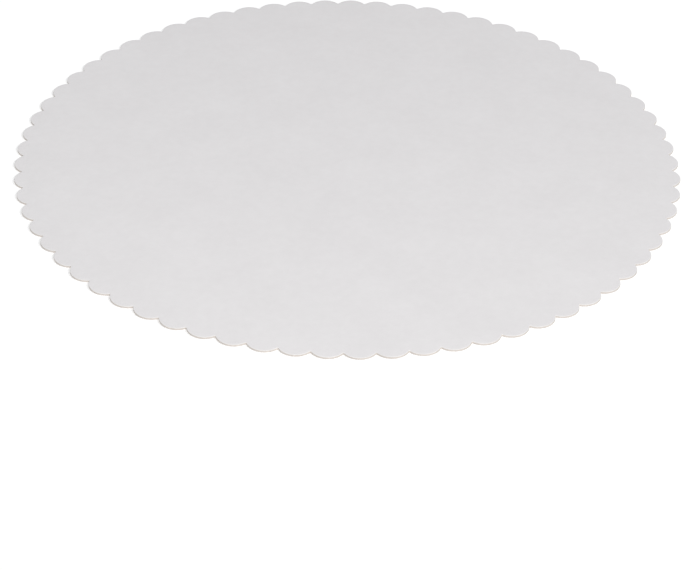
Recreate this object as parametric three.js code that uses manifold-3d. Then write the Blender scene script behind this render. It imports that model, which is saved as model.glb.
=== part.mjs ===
// A round cake board: one disc of white cardboard with a scalloped rim, cut out in one stroke.
// Millimetres, +Z up. The origin is the middle of the underside, which lies flat on the table.
import * as THREE from "three";
import { mergeVertices } from "three/addons/utils/BufferGeometryUtils.js";
import Module from "manifold-3d";

// Driving dimensions
const BOARD_DIAMETER = 250; // across the circle that the tips of the scallops touch
const BOARD_THICKNESS = 0.86;
const SCALLOP_COUNT = 69;
const SCALLOP_DEPTH = 2.8; // from the circle of the tips in to the bottom of a notch
const NOTCH_RADIUS = 0.3; // the bend of the cutting rule between two scallops
const ARRIS_RADIUS = 0.15; // the upper edge, pressed round where the cutting rule goes in

// The direction of the first tip, so that a notch lies at the front
const FIRST_TIP = Math.PI / 2;

// Facets along each curve
const SCALLOP_STEPS = 8;
const NOTCH_STEPS = 3;
const ARRIS_STEPS = 2;

// How far the cutting block reaches past the board, each way
const CUT_CLEARANCE = 5;

const BOARD_COLOUR = 0xe6e3e1;
const BOARD_ROUGHNESS = 0.86;

const wasm = await Module();
wasm.setup();

// The arcs of one scallop and of the notch beside it. A scallop is one arc that bulges outwards,
// and a notch is a small hollow arc that runs smoothly into the scallops on both sides.
function scallopArcs() {
  const tipRadius = BOARD_DIAMETER / 2;
  const halfPitch = Math.PI / SCALLOP_COUNT;
  const notchCentre = tipRadius - SCALLOP_DEPTH + NOTCH_RADIUS;
  const notchAlong = notchCentre * Math.cos(halfPitch);
  const notchAcross = notchCentre * Math.sin(halfPitch);
  const outerReach = tipRadius + NOTCH_RADIUS;
  const scallopCentre = (outerReach ** 2 - notchCentre ** 2) / (2 * (outerReach - notchAlong));
  return {
    halfPitch,
    notchCentre,
    scallopCentre,
    scallopRadius: tipRadius - scallopCentre,
    halfSweep: Math.atan2(notchAcross, notchAlong - scallopCentre),
  };
}

// The points of an arc whose centre lies at a distance from the board's axis, in a direction.
// Its last point is left out, because the next arc starts there.
function arcPoints(distance, direction, radius, start, end, steps) {
  const x = distance * Math.cos(direction);
  const y = distance * Math.sin(direction);
  const clockwise = end < start;
  const curve = new THREE.EllipseCurve(x, y, radius, radius, start, end, clockwise);
  return curve.getPoints(steps).slice(0, -1);
}

function rimOutline() {
  const { halfPitch, notchCentre, scallopCentre, scallopRadius, halfSweep } = scallopArcs();
  const points = [];
  for (let i = 0; i < SCALLOP_COUNT; i += 1) {
    const tip = FIRST_TIP + 2 * halfPitch * i;
    const notch = tip + halfPitch;
    const start = tip - halfSweep;
    const end = tip + halfSweep;
    const nextStart = start + 2 * halfPitch;
    points.push(
      ...arcPoints(scallopCentre, tip, scallopRadius, start, end, SCALLOP_STEPS),
      ...arcPoints(notchCentre, notch, NOTCH_RADIUS, end + Math.PI, nextStart + Math.PI, NOTCH_STEPS),
    );
  }
  return new THREE.Shape(points);
}

function solidFrom(geometry) {
  const bare = geometry.clone();
  bare.deleteAttribute("normal");
  bare.deleteAttribute("uv");
  const merged = mergeVertices(bare);
  return new wasm.Manifold(
    new wasm.Mesh({
      numProp: 3,
      vertProperties: merged.attributes.position.array,
      triVerts: new Uint32Array(merged.index.array),
    }),
  );
}

function geometryFrom(solid) {
  const mesh = solid.getMesh();
  const geometry = new THREE.BufferGeometry();
  geometry.setAttribute("position", new THREE.BufferAttribute(mesh.vertProperties, 3));
  geometry.setIndex(new THREE.BufferAttribute(mesh.triVerts, 1));
  const faceted = geometry.toNonIndexed();
  faceted.computeVertexNormals();
  return faceted;
}

// The disc with a round at both edges, sunk so far that its lower round is below the underside.
function roundedDisc() {
  const disc = new THREE.ExtrudeGeometry(rimOutline(), {
    depth: BOARD_THICKNESS,
    bevelEnabled: true,
    bevelThickness: ARRIS_RADIUS,
    bevelSize: ARRIS_RADIUS,
    bevelOffset: -ARRIS_RADIUS,
    bevelSegments: ARRIS_STEPS,
    curveSegments: 1,
  });
  disc.translate(0, 0, -ARRIS_RADIUS);
  return disc;
}

// Everything below the underside
function cuttingBlock() {
  const width = BOARD_DIAMETER + 2 * CUT_CLEARANCE;
  const height = 2 * ARRIS_RADIUS + CUT_CLEARANCE;
  const block = new THREE.BoxGeometry(width, width, height);
  block.translate(0, 0, -height / 2);
  return block;
}

// The cutting rule presses only the upper edge round, and leaves the lower one square.
function boardGeometry() {
  return geometryFrom(solidFrom(roundedDisc()).subtract(solidFrom(cuttingBlock())));
}

function cakeBoard() {
  const material = new THREE.MeshStandardMaterial({
    color: BOARD_COLOUR,
    roughness: BOARD_ROUGHNESS,
    metalness: 0,
  });
  const mesh = new THREE.Mesh(boardGeometry(), material);
  mesh.name = "board";
  return mesh;
}

const part = new THREE.Group();
part.add(cakeBoard());

export default part;
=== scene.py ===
# A round cake board of white cardboard: its rim and paper surfaces, the light and the camera.
# Metres, +Z up. The board lies on the floor, and its axis is the Z axis.
import math
from typing import NamedTuple

import bpy
import numpy as np
from mathutils import Matrix, Vector, noise


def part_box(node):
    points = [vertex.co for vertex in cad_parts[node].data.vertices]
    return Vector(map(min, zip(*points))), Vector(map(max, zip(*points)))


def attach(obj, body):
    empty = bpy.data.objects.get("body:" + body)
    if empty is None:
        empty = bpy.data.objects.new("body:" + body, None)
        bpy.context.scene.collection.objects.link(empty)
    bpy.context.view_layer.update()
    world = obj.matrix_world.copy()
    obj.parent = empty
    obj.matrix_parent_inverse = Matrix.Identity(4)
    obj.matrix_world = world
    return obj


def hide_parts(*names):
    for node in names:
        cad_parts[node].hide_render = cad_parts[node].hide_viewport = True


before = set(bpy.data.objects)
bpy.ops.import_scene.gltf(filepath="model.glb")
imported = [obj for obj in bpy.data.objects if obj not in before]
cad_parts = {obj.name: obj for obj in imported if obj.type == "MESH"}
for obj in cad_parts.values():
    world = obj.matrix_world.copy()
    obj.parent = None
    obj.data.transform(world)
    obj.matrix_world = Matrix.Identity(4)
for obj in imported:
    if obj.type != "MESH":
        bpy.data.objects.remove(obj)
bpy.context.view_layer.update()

MM = 0.001

# The board's form, as the part has it
BOARD_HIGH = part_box("board")[1]
TIP_RADIUS = BOARD_HIGH[1]
THICKNESS = BOARD_HIGH[2]
SCALLOP_COUNT = 69
SCALLOP_DEPTH = 2.8 * MM
NOTCH_RADIUS = 0.3 * MM
FIRST_TIP = math.pi / 2

# The section of the rim
ARRIS_RADIUS = 0.15 * MM  # the upper edge, rolled over by the cutting rule
PRESSED_WIDTH = 1.2 * MM  # the band of the face that the rule draws down with it
PRESSED_DEPTH = 0.022 * MM
LOWER_ROUND = 0.03 * MM
WALL_LEAN = 0.03 * MM  # how far the wall leans in, from its foot to the arris
PLY_RELIEF = 0.016 * MM  # how far the torn plies stand back from one another
FIBRE_RELIEF = 0.02 * MM
PLY_CYCLES = (60.0, 9000.0)  # per metre, along the rim and up the wall
FIBRE_CYCLES = (700.0, 5000.0)
UNDERSIDE_INSETS = (0.6 * MM, 0.2 * MM)  # rings of the underside close to its edge
SHARP_ANGLE = math.radians(40)  # a steeper bend between two faces is shaded as an edge

# Steps along each curve
SCALLOP_STEPS = 22
NOTCH_STEPS = 8
ARRIS_STEPS = 5
PRESSED_STEPS = 4
WALL_STEPS = 10

# Rings of the flat faces, inwards: radius, and how many points of the ring before lie on one of its steps
FACE_RINGS = ((0.1190, 3), (0.1050, 2), (0.0800, 3), (0.0400, 5))

# Colours as they look, 0 to 1
FACE_LIGHT = (0.909, 0.901, 0.903)
FACE_SHADE = (0.889, 0.880, 0.882)
# The rolled upper edge: a touch lighter than the face, a painted highlight along the edge that catches the
# light
ROLLED_EDGE_LIGHT_WITH_PAINTED_HIGHLIGHT = (0.915, 0.908, 0.905)
ROLLED_EDGE_SHADE_WITH_PAINTED_HIGHLIGHT = (0.890, 0.882, 0.878)
UNDERSIDE_LIGHT = (0.894, 0.883, 0.878)
UNDERSIDE_SHADE = (0.862, 0.850, 0.842)
LINER = (0.915, 0.903, 0.892)
CORE_LIGHT = (0.898, 0.874, 0.852)
CORE_SHADE = (0.800, 0.766, 0.738)
LAMP_WHITE = (1.0, 0.995, 0.985)
ROOM_WHITE = (0.985, 0.99, 1.0)

# The curve from a colour as it looks to linear light: straight up to the knee, and a power above it
KNEE = 0.04045
KNEE_SLOPE = 12.92
CURVE_OFFSET = 0.055
CURVE_POWER = 2.4


class Grain(NamedTuple):
    """One scale of a surface's noise: its form, and its shares of tone, roughness and relief."""

    size: float
    detail: float = 2.0
    turn: float = 0.0  # about the Z axis, in radians
    stretch: tuple = (1.0, 1.0, 1.0)
    tone: float = 0.0
    rough: float = 0.0
    relief: float = 0.0


class Finish(NamedTuple):
    """How a surface takes light, and the metres that a relief of 1 in its grains stands for."""

    roughness: float
    specular: float
    relief: float


# Paper: cloudy formation, flocks of pulp, fibres that mostly run one way, strands across them, and tooth
PAPER_GRAINS = (
    Grain(22 * MM, tone=0.35),
    Grain(3.2 * MM, detail=3.0, tone=0.3, rough=0.08, relief=0.017),
    Grain(0.2 * MM, turn=0.12, stretch=(8.0, 1.0, 1.0), tone=0.2, rough=0.1, relief=0.012),
    Grain(0.24 * MM, turn=-0.75, stretch=(6.0, 1.0, 1.0), tone=0.15, relief=0.010),
    Grain(0.13 * MM, relief=0.006),
)
PAPER_TONES = (0.36, 0.64)  # the noise at the darkest tone and at the lightest
NOISE_MEAN = 0.5

# The cut wall: plies, torn fibres and pulp
PULP = Grain(1.1 * MM, detail=3.0, tone=0.25, relief=0.02)
CUT_GRAINS = (
    Grain(0.11 * MM, stretch=(90.0, 90.0, 1.0), tone=0.4, relief=0.018),
    Grain(0.06 * MM, stretch=(9.0, 9.0, 1.0), tone=0.35, rough=0.1, relief=0.012),
    PULP,
)
CUT_TONES = (0.34, 0.66)
LINER_FROM = 0.38 * MM  # above and below the middle of the board
LINER_BLUR = 0.04 * MM
LINER_WAVE = 0.05 * MM

FACE_FINISH = Finish(roughness=0.74, specular=0.3, relief=1.0 * MM)
PRESSED_FINISH = Finish(roughness=0.62, specular=0.35, relief=0.4 * MM)
UNDERSIDE_FINISH = Finish(roughness=0.82, specular=0.3, relief=1.5 * MM)
CUT_FINISH = Finish(roughness=0.88, specular=0.2, relief=1.0 * MM)

# The view of the photograph, for a picture of 689 by 570
CAMERA_DISTANCE = 0.9054
CAMERA_ELEVATION = math.radians(32.2)
CAMERA_ROLL = math.radians(1.29)
AIM = Vector((-0.00016, -0.0827, THICKNESS))
LENS = 125.13
SENSOR_WIDTH = 36.0


class Lamp(NamedTuple):
    """A square lamp, which faces the middle of the board."""

    place: Vector
    side: float
    watts: float


KEY_LAMP = Lamp(Vector((2.5, -1.55, 2.5)), side=1.3, watts=41.0)
FRONT_LAMP = Lamp(Vector((0.0, -0.95, 0.95)), side=0.7, watts=9.0)
ROOM_STRENGTH = 0.43
BACKGROUND_STRENGTH = 1.0

FLOOR_SIZE = 12.0
FLOOR_GAP = 0.02 * MM
FLOOR_BOUNCE = 0.8
FLOOR_NEAR = (0.75, 0.995)  # distance from the foot of the front lamp, and how bright the floor is seen
FLOOR_FAR = (3.0, 2.6)


def linear(colour):
    """A colour as it looks, turned into the linear light that a shader takes."""

    def channel(value):
        if value <= KNEE:
            return value / KNEE_SLOPE
        return ((value + CURVE_OFFSET) / (1 + CURVE_OFFSET)) ** CURVE_POWER

    return [*map(channel, colour), 1.0]


def grey(brightness):
    """A grey of a brightness in linear light."""
    return [brightness, brightness, brightness, 1.0]


def add_object(name, data):
    """Puts a mesh, lamp or camera into the scene."""
    added = bpy.data.objects.new(name, data)
    bpy.context.scene.collection.objects.link(added)
    return added


# The rim


def facing(angle):
    return np.array((math.cos(angle), math.sin(angle)))


def rim_outline():
    """The points of the scalloped rim, anticlockwise, and the outward direction at each."""
    half_pitch = math.pi / SCALLOP_COUNT
    notch_centre = TIP_RADIUS - SCALLOP_DEPTH + NOTCH_RADIUS
    along = notch_centre * math.cos(half_pitch)
    across = notch_centre * math.sin(half_pitch)
    reach = TIP_RADIUS + NOTCH_RADIUS
    scallop_centre = (reach**2 - notch_centre**2) / (2 * (reach - along))
    scallop_radius = TIP_RADIUS - scallop_centre
    sweep = math.atan2(across, along - scallop_centre)
    points = []
    outward = []
    for i in range(SCALLOP_COUNT):
        tip = FIRST_TIP + 2 * half_pitch * i
        notch = tip + half_pitch
        for angle in np.linspace(tip - sweep, tip + sweep, SCALLOP_STEPS, endpoint=False):
            points.append(scallop_centre * facing(tip) + scallop_radius * facing(angle))
            outward.append(facing(angle))
        start = tip + sweep + math.pi
        end = notch + half_pitch - sweep + math.pi
        for angle in np.linspace(start, end, NOTCH_STEPS, endpoint=False):
            points.append(notch_centre * facing(notch) + NOTCH_RADIUS * facing(angle))
            outward.append(-facing(angle))
    return np.array(points), np.array(outward)


def wall_relief(x, y, height):
    """How far the cut wall stands back at a point: the plies step, and the torn fibres vary along them."""

    def noise_at(cycles):
        along, up = cycles
        return noise.noise(Vector((x * along, y * along, height * up)))

    plies = (1 + noise_at(PLY_CYCLES)) / 2
    fibres = abs(noise_at(FIBRE_CYCLES))
    return PLY_RELIEF * plies + FIBRE_RELIEF * fibres


def section_rows():
    """The rim's section, from the underside round to the face: surface, inset and height."""
    rows = [("underside", inset, 0.0) for inset in (*UNDERSIDE_INSETS, LOWER_ROUND)]
    arris_foot = THICKNESS - PRESSED_DEPTH - ARRIS_RADIUS
    for height in np.linspace(LOWER_ROUND, arris_foot, WALL_STEPS):
        rows.append(("cut", WALL_LEAN * float(height) / THICKNESS, float(height)))
    lean = WALL_LEAN * arris_foot / THICKNESS
    # The rolled arris, which takes the lighter colour of the painted highlight
    for step in range(1, ARRIS_STEPS + 1):
        angle = step / ARRIS_STEPS * math.pi / 2
        inset = lean + ARRIS_RADIUS * (1 - math.cos(angle))
        rows.append(("rolled_edge_painted_highlight", inset, arris_foot + ARRIS_RADIUS * math.sin(angle)))
    arris_top = lean + ARRIS_RADIUS
    for step in range(1, PRESSED_STEPS + 1):
        way = step / PRESSED_STEPS
        inset = arris_top + (PRESSED_WIDTH - arris_top) * way
        rows.append(("face", inset, THICKNESS - PRESSED_DEPTH * (1 - way) ** 2))
    return rows


# The mesh


class BoardMesh:
    """Points and faces of the board, with the surface that each face belongs to."""

    def __init__(self):
        self.points = []
        self.faces = []
        self.surfaces = []

    def ring(self, places):
        first = len(self.points)
        self.points.extend(places)
        return list(range(first, len(self.points)))

    def face(self, corners, surface):
        self.faces.append(corners)
        self.surfaces.append(surface)

    def strip(self, lower, upper, surface):
        """Joins two rings of as many points, the second above or inside the first."""
        count = len(lower)
        for i in range(count):
            after = (i + 1) % count
            self.face((lower[i], lower[after], upper[after], upper[i]), surface)

    def narrow(self, outer, inner, surface, upwards):
        """Joins a ring to one inside it that has a fraction of its points."""
        share = len(outer) // len(inner)
        for i in range(len(inner)):
            following = (i + 1) % len(inner)
            arc = [outer[(i * share + k) % len(outer)] for k in range(share + 1)]
            middle = (share + 1) // 2
            for k in range(share):
                corner = inner[i] if k < middle else inner[following]
                self.turned((arc[k], arc[k + 1], corner), surface, upwards)
            self.turned((arc[middle], inner[following], inner[i]), surface, upwards)

    def turned(self, corners, surface, upwards):
        self.face(corners if upwards else corners[::-1], surface)

    def close(self, ring, centre, surface, upwards):
        for i in range(len(ring)):
            self.turned((ring[i], ring[(i + 1) % len(ring)], centre), surface, upwards)


def flat_face(mesh, rim, outline, height, surface, upwards):
    """Fills the inside of a ring of the rim with rings of fewer and fewer points."""
    ring = rim
    places = outline
    for radius, share in FACE_RINGS:
        places = places[::share]
        inner = mesh.ring([(*(radius * p / np.linalg.norm(p)), height) for p in places])
        mesh.narrow(ring, inner, surface, upwards)
        ring = inner
    centre = mesh.ring([(0.0, 0.0, height)])[0]
    mesh.close(ring, centre, surface, upwards)


def make_board(materials):
    outline, outward = rim_outline()
    mesh = BoardMesh()
    rings = []
    rows = section_rows()
    for surface, inset, height in rows:
        places = []
        for point, direction in zip(outline, outward):
            relief = wall_relief(*point, height) if surface == "cut" else 0.0
            places.append((*(point - direction * (inset + relief)), height))
        rings.append(mesh.ring(places))
    for lower, upper, (surface, _, _) in zip(rings, rings[1:], rows[1:]):
        mesh.strip(lower, upper, surface)
    flat_face(mesh, rings[0], outline, 0.0, "underside", upwards=False)
    flat_face(mesh, rings[-1], outline, THICKNESS, "face", upwards=True)

    data = bpy.data.meshes.new("cake_board")
    data.from_pydata([tuple(map(float, p)) for p in mesh.points], [], mesh.faces)
    names = list(materials)
    for name in names:
        data.materials.append(materials[name])
    data.polygons.foreach_set("material_index", [names.index(s) for s in mesh.surfaces])
    data.polygons.foreach_set("use_smooth", [True] * len(data.polygons))
    data.set_sharp_from_angle(angle=SHARP_ANGLE)
    data.validate()
    return add_object("cake_board", data)


# Materials


def feed(tree, socket, value):
    """Gives an input a value or another node's output."""
    if isinstance(value, bpy.types.NodeSocket):
        tree.links.new(value, socket)
    else:
        socket.default_value = value


def add(tree, kind, **inputs):
    """Adds a node. Each input is a value or another node's output, under its name with _ for a space."""
    node = tree.nodes.new(kind)
    for name, value in inputs.items():
        feed(tree, node.inputs[name.replace("_", " ")], value)
    return node


def arithmetic(tree, operation, *values):
    node = tree.nodes.new("ShaderNodeMath")
    node.operation = operation
    for socket, value in zip(node.inputs, values):
        feed(tree, socket, value)
    return node.outputs[0]


def weighted(tree, *pairs):
    """The sum of some outputs, each times its weight."""
    total = 0.0
    for value, weight in pairs:
        total = arithmetic(tree, "MULTIPLY_ADD", value, weight, total)
    return total


def spread(tree, value, low, high):
    """A value from low to high, turned into 0 to 1."""
    return add(tree, "ShaderNodeMapRange", Value=value, From_Min=low, From_Max=high).outputs["Result"]


def mix_colour(tree, factor, first, second):
    node = tree.nodes.new("ShaderNodeMix")
    node.data_type = "RGBA"
    sockets = [s for s in node.inputs if s.enabled]
    for socket, value in zip(sockets, (factor, first, second)):
        feed(tree, socket, value)
    return next(s for s in node.outputs if s.enabled)


def noise_of(tree, grain):
    """Noise whose features are about as large as the grain, stretched along the axes and turned."""
    place = tree.nodes.new("ShaderNodeTexCoord").outputs["Object"]
    turned = add(tree, "ShaderNodeMapping", Vector=place, Rotation=(0.0, 0.0, grain.turn))
    narrowed = tuple(1 / s for s in grain.stretch)
    scaled = add(tree, "ShaderNodeMapping", Vector=turned.outputs[0], Scale=narrowed)
    texture = add(
        tree,
        "ShaderNodeTexNoise",
        Vector=scaled.outputs[0],
        Scale=1 / grain.size,
        Detail=grain.detail,
    )
    return texture.outputs[0]


def noises(tree, grains):
    """The tone, roughness and relief of some grains together."""
    made = [(noise_of(tree, grain), grain) for grain in grains]
    tone = weighted(tree, *((value, grain.tone) for value, grain in made if grain.tone))
    rough = weighted(tree, *((value, grain.rough) for value, grain in made if grain.rough))
    relief = weighted(tree, *((value, grain.relief) for value, grain in made if grain.relief))
    return tone, rough, relief


def new_material(name):
    material = bpy.data.materials.new(name)
    material.use_nodes = True
    material.node_tree.nodes.clear()
    return material, material.node_tree


def finish_material(tree, colour, rough, relief, finish):
    """The shader of a paper surface, with the roughness and relief of its grains on top of its finish."""
    bump = add(tree, "ShaderNodeBump", Height=relief, Distance=finish.relief)
    shader = add(
        tree,
        "ShaderNodeBsdfPrincipled",
        Base_Color=colour,
        Roughness=arithmetic(tree, "ADD", rough, finish.roughness),
        Specular_IOR_Level=finish.specular,
        Normal=bump.outputs[0],
    )
    add(tree, "ShaderNodeOutputMaterial", Surface=shader.outputs[0])


def paper_material(name, light, shade, finish):
    material, tree = new_material(name)
    tone, rough, relief = noises(tree, PAPER_GRAINS)
    colour = mix_colour(tree, spread(tree, tone, *PAPER_TONES), linear(shade), linear(light))
    finish_material(tree, colour, rough, relief, finish)
    return material


def cut_material():
    """The cut wall: a white liner at the top and bottom, and layers of warmer pulp between."""
    material, tree = new_material("board_cut")
    tone, rough, relief = noises(tree, CUT_GRAINS)
    core = mix_colour(tree, spread(tree, tone, *CUT_TONES), linear(CORE_SHADE), linear(CORE_LIGHT))
    place = tree.nodes.new("ShaderNodeTexCoord").outputs["Object"]
    height = add(tree, "ShaderNodeSeparateXYZ", Vector=place).outputs["Z"]
    from_middle = arithmetic(tree, "ABSOLUTE", arithmetic(tree, "SUBTRACT", height, THICKNESS / 2))
    wave = arithmetic(tree, "SUBTRACT", noise_of(tree, PULP), NOISE_MEAN)
    wavy = arithmetic(tree, "MULTIPLY_ADD", wave, LINER_WAVE, from_middle)
    in_liner = spread(tree, wavy, LINER_FROM - LINER_BLUR / 2, LINER_FROM + LINER_BLUR / 2)
    colour = mix_colour(tree, in_liner, core, linear(LINER))
    finish_material(tree, colour, rough, relief, CUT_FINISH)
    return material


def board_materials():
    return {
        "face": paper_material("board_face", FACE_LIGHT, FACE_SHADE, FACE_FINISH),
        # the rolled edge: smoother, and lighter than the face as a painted highlight
        "rolled_edge_painted_highlight": paper_material("board_rolled_edge_painted_highlight", ROLLED_EDGE_LIGHT_WITH_PAINTED_HIGHLIGHT, ROLLED_EDGE_SHADE_WITH_PAINTED_HIGHLIGHT, PRESSED_FINISH),
        "underside": paper_material(
            "board_underside", UNDERSIDE_LIGHT, UNDERSIDE_SHADE, UNDERSIDE_FINISH
        ),
        "cut": cut_material(),
    }


# Floor, light and camera


def seen_directly(tree):
    """1 for what the camera sees, straight or through glass or in a reflection, and 0 for other light."""
    path = tree.nodes.new("ShaderNodeLightPath")
    direct = path.outputs["Is Camera Ray"]
    for name in ("Is Glossy Ray", "Is Transmission Ray"):
        direct = arithmetic(tree, "MAXIMUM", direct, path.outputs[name])
    return direct


def make_floor():
    half = FLOOR_SIZE / 2
    corners = [(x * half, y * half, -FLOOR_GAP) for x, y in ((-1, -1), (1, -1), (1, 1), (-1, 1))]
    data = bpy.data.meshes.new("floor")
    data.from_pydata(corners, [], [(0, 1, 2, 3)])
    material, tree = new_material("floor")
    away = tree.nodes.new("ShaderNodeVectorMath")
    away.operation = "DISTANCE"
    feed(tree, away.inputs[0], tree.nodes.new("ShaderNodeTexCoord").outputs["Object"])
    feed(tree, away.inputs[1], (FRONT_LAMP.place.x, FRONT_LAMP.place.y, 0.0))
    near, near_seen = FLOOR_NEAR
    far, far_seen = FLOOR_FAR
    farness = spread(tree, away.outputs["Value"], near, far)
    seen = mix_colour(tree, farness, grey(near_seen), grey(far_seen))
    colour = mix_colour(tree, seen_directly(tree), grey(FLOOR_BOUNCE), seen)
    shader = add(tree, "ShaderNodeBsdfDiffuse", Color=colour)
    add(tree, "ShaderNodeOutputMaterial", Surface=shader.outputs[0])
    data.materials.append(material)
    return add_object("floor", data)


def looking(place, target):
    """The matrix of a camera or lamp at a place, turned to a target."""
    return Matrix.Translation(place) @ (target - place).to_track_quat("-Z", "Y").to_matrix().to_4x4()


def make_lamp(name, lamp):
    data = bpy.data.lights.new(name, "AREA")
    data.shape = "SQUARE"
    data.size = lamp.side
    data.energy = lamp.watts
    data.color = LAMP_WHITE
    add_object(name, data).matrix_world = looking(lamp.place, Vector((0.0, 0.0, 0.0)))


def light_room():
    world = bpy.data.worlds.new("room")
    world.use_nodes = True
    tree = world.node_tree
    tree.nodes.clear()
    rise = BACKGROUND_STRENGTH - ROOM_STRENGTH
    strength = arithmetic(tree, "MULTIPLY_ADD", seen_directly(tree), rise, ROOM_STRENGTH)
    shader = add(tree, "ShaderNodeBackground", Color=linear(ROOM_WHITE), Strength=strength)
    add(tree, "ShaderNodeOutputWorld", Surface=shader.outputs[0])
    bpy.context.scene.world = world


def make_camera():
    data = bpy.data.cameras.new("camera")
    data.lens = LENS
    data.sensor_width = SENSOR_WIDTH
    direction = Vector((0.0, -math.cos(CAMERA_ELEVATION), math.sin(CAMERA_ELEVATION)))
    camera = add_object("camera", data)
    camera.matrix_world = looking(direction * CAMERA_DISTANCE, AIM) @ Matrix.Rotation(CAMERA_ROLL, 4, "Z")
    bpy.context.scene.camera = camera


board = make_board(board_materials())
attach(board, "root")
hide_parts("board")

make_floor()
make_lamp("key", KEY_LAMP)
make_lamp("front", FRONT_LAMP)
light_room()
make_camera()

bpy.context.scene.view_settings.view_transform = "Standard"
